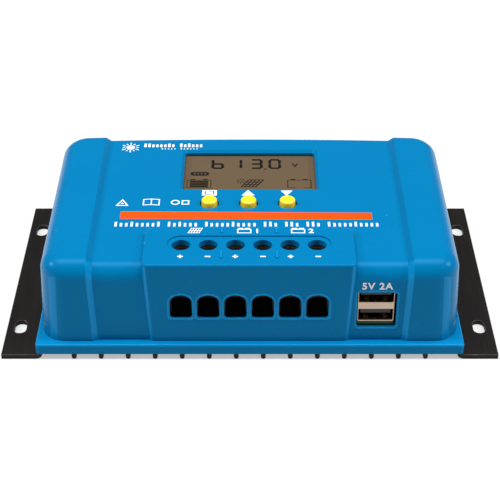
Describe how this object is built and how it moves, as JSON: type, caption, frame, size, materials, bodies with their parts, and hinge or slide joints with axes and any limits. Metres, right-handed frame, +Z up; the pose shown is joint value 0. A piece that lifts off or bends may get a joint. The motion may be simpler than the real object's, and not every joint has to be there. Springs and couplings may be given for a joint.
{
  "type": "charge controller",
  "caption": "Solar charge controller: moulded cover with display, buttons, screw terminals and USB sockets on a finned plate with slotted flanges.",
  "frame": {"origin": "centre of the underside of the heatsink's flanges and fins", "axes": "+X along the length, -Y towards the wire entries and USB sockets, +Z up out of the face with the display"},
  "size_m": [0.184, 0.101, 0.0404],
  "materials": {
    "blue_abs": "fine matt texture",
    "black_anodised": "black anodised, satin",
    "yellow_cap": "glossy",
    "lcd_glass": "glossy display",
    "white_frame": "satin",
    "green_board": "solder mask",
    "black_plastic": "satin",
    "nickel": "nickel plated",
    "steel": "zinc plated",
    "copper_alloy": "tinned brass",
    "grey_pad": "silicone pad",
    "nylon": "natural nylon"
  },
  "bodies": {
    "base": {"heatsink": "black_anodised", "top_cover": "blue_abs", "lcd_glass": "lcd_glass", "lcd_frame": "white_frame", "display_pcb": "green_board", "main_pcb": "green_board", "display_header": "black_plastic", "terminal_housing": "black_plastic", "usb_insulator": "black_plastic", "controller_chip": "black_plastic", "capacitor_1": "black_plastic", "capacitor_2": "black_plastic", "usb_inductor": "black_plastic", "transistor_1": "black_plastic", "transistor_2": "black_plastic", "transistor_3": "black_plastic", "transistor_4": "black_plastic", "menu_switch": "black_plastic", "up_switch": "black_plastic", "down_switch": "black_plastic", "usb_shell": "nickel", "clamp_bar": "steel", "cover_screw_1": "steel", "cover_screw_2": "steel", "cover_screw_3": "steel", "cover_screw_4": "steel", "clamp_screw_1": "steel", "clamp_screw_2": "steel", "display_screw_1": "steel", "display_screw_2": "steel", "contact_1": "copper_alloy", "contact_2": "copper_alloy", "contact_3": "copper_alloy", "contact_4": "copper_alloy", "contact_5": "copper_alloy", "contact_6": "copper_alloy", "insulating_pad": "grey_pad", "board_support_1": "nylon", "board_support_2": "nylon", "board_support_3": "nylon", "board_support_4": "nylon"},
    "menu_button": {"menu_cap": "yellow_cap", "menu_plunger": "black_plastic"},
    "up_button": {"up_cap": "yellow_cap", "up_plunger": "black_plastic"},
    "down_button": {"down_cap": "yellow_cap", "down_plunger": "black_plastic"},
    "screw_1": {"terminal_screw_1": "steel"},
    "clamp_1": {"clamp_cage_1": "nickel"},
    "screw_2": {"terminal_screw_2": "steel"},
    "clamp_2": {"clamp_cage_2": "nickel"},
    "screw_3": {"terminal_screw_3": "steel"},
    "clamp_3": {"clamp_cage_3": "nickel"},
    "screw_4": {"terminal_screw_4": "steel"},
    "clamp_4": {"clamp_cage_4": "nickel"},
    "screw_5": {"terminal_screw_5": "steel"},
    "clamp_5": {"clamp_cage_5": "nickel"},
    "screw_6": {"terminal_screw_6": "steel"},
    "clamp_6": {"clamp_cage_6": "nickel"}
  },
  "joints": [
    {"name": "menu_press", "type": "slide", "parent": "base", "child": "menu_button", "axis": [0, 0, -1], "range_m": [0, 0.0008], "stiffness_N_per_m": 1500},
    {"name": "up_press", "type": "slide", "parent": "base", "child": "up_button", "axis": [0, 0, -1], "range_m": [0, 0.0008], "stiffness_N_per_m": 1500},
    {"name": "down_press", "type": "slide", "parent": "base", "child": "down_button", "axis": [0, 0, -1], "range_m": [0, 0.0008], "stiffness_N_per_m": 1500},
    {"name": "screw_1_turn", "type": "hinge", "parent": "base", "child": "screw_1", "pos_m": [-0.02513, -0.0333, 0.034], "axis": [0, 0, -1], "range_deg": [0, 2829]},
    {"name": "clamp_1_lift", "type": "slide", "parent": "base", "child": "clamp_1", "axis": [0, 0, 1], "range_m": [0, 0.0055]},
    {"name": "screw_2_turn", "type": "hinge", "parent": "base", "child": "screw_2", "pos_m": [-0.01517, -0.0333, 0.034], "axis": [0, 0, -1], "range_deg": [0, 2829]},
    {"name": "clamp_2_lift", "type": "slide", "parent": "base", "child": "clamp_2", "axis": [0, 0, 1], "range_m": [0, 0.0055]},
    {"name": "screw_3_turn", "type": "hinge", "parent": "base", "child": "screw_3", "pos_m": [-0.00522, -0.0333, 0.034], "axis": [0, 0, -1], "range_deg": [0, 2829]},
    {"name": "clamp_3_lift", "type": "slide", "parent": "base", "child": "clamp_3", "axis": [0, 0, 1], "range_m": [0, 0.0055]},
    {"name": "screw_4_turn", "type": "hinge", "parent": "base", "child": "screw_4", "pos_m": [0.00473, -0.0333, 0.034], "axis": [0, 0, -1], "range_deg": [0, 2829]},
    {"name": "clamp_4_lift", "type": "slide", "parent": "base", "child": "clamp_4", "axis": [0, 0, 1], "range_m": [0, 0.0055]},
    {"name": "screw_5_turn", "type": "hinge", "parent": "base", "child": "screw_5", "pos_m": [0.01468, -0.0333, 0.034], "axis": [0, 0, -1], "range_deg": [0, 2829]},
    {"name": "clamp_5_lift", "type": "slide", "parent": "base", "child": "clamp_5", "axis": [0, 0, 1], "range_m": [0, 0.0055]},
    {"name": "screw_6_turn", "type": "hinge", "parent": "base", "child": "screw_6", "pos_m": [0.02463, -0.0333, 0.034], "axis": [0, 0, -1], "range_deg": [0, 2829]},
    {"name": "clamp_6_lift", "type": "slide", "parent": "base", "child": "clamp_6", "axis": [0, 0, 1], "range_m": [0, 0.0055]}
  ],
  "couplings": [
    {"joint": "screw_1_turn", "follows": "clamp_1_lift", "rad_per_m": 8976},
    {"joint": "screw_2_turn", "follows": "clamp_2_lift", "rad_per_m": 8976},
    {"joint": "screw_3_turn", "follows": "clamp_3_lift", "rad_per_m": 8976},
    {"joint": "screw_4_turn", "follows": "clamp_4_lift", "rad_per_m": 8976},
    {"joint": "screw_5_turn", "follows": "clamp_5_lift", "rad_per_m": 8976},
    {"joint": "screw_6_turn", "follows": "clamp_6_lift", "rad_per_m": 8976}
  ]
}
